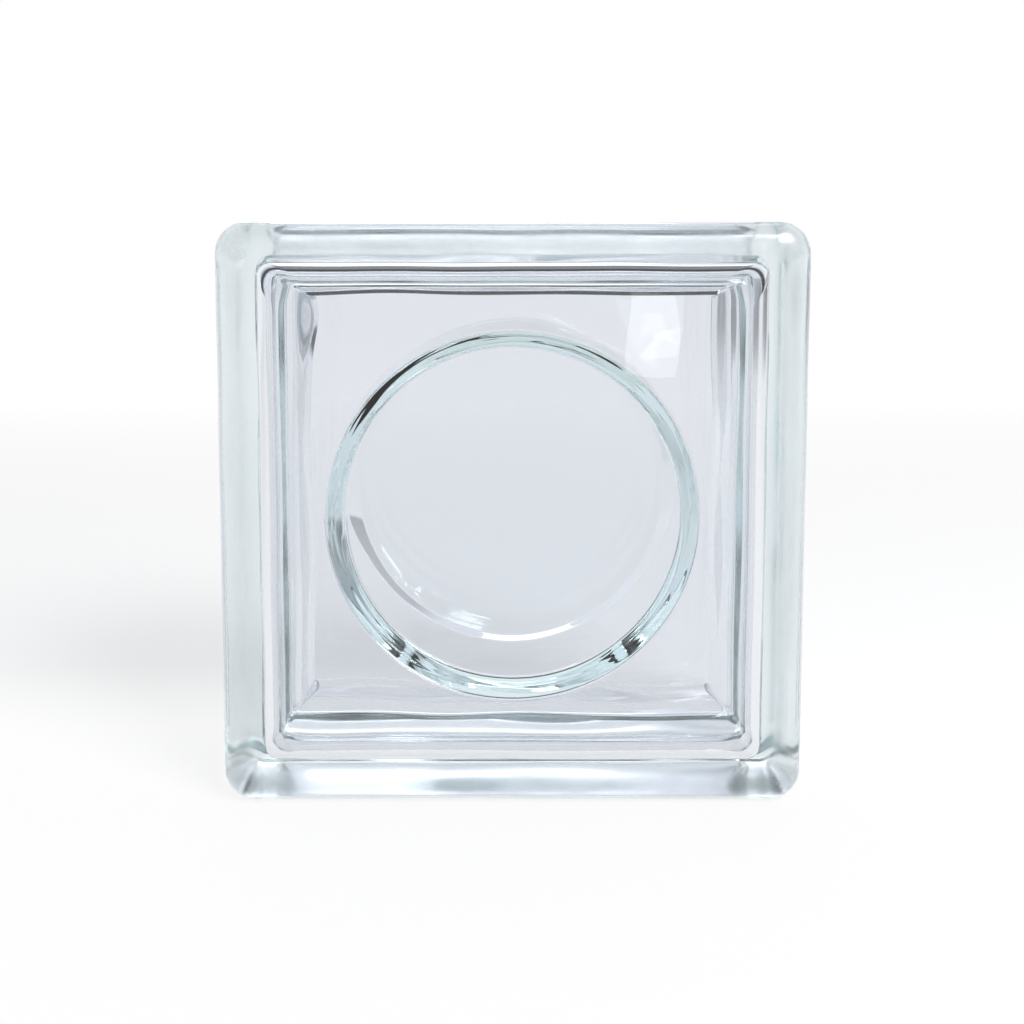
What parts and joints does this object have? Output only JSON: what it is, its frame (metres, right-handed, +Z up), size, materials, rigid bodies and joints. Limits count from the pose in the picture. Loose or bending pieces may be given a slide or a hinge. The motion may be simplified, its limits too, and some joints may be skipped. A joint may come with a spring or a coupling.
{
  "type": "glass block",
  "caption": "Square hollow glass block for laying in walls: soft rounded rim, thick round lens inside each face, mortar groove round the narrow sides.",
  "frame": {"origin": "on the floor under the middle of the block, which stands on one narrow side", "axes": "X across the square face, Y through the block from the front face at -Y to the back face at +Y, Z up"},
  "size_m": [0.19, 0.08, 0.19],
  "materials": {
    "glass": "clear pressed glass with a faint blue-grey tint"
  },
  "bodies": {
    "root": {"glass_block": "glass"}
  },
  "joints": []
}
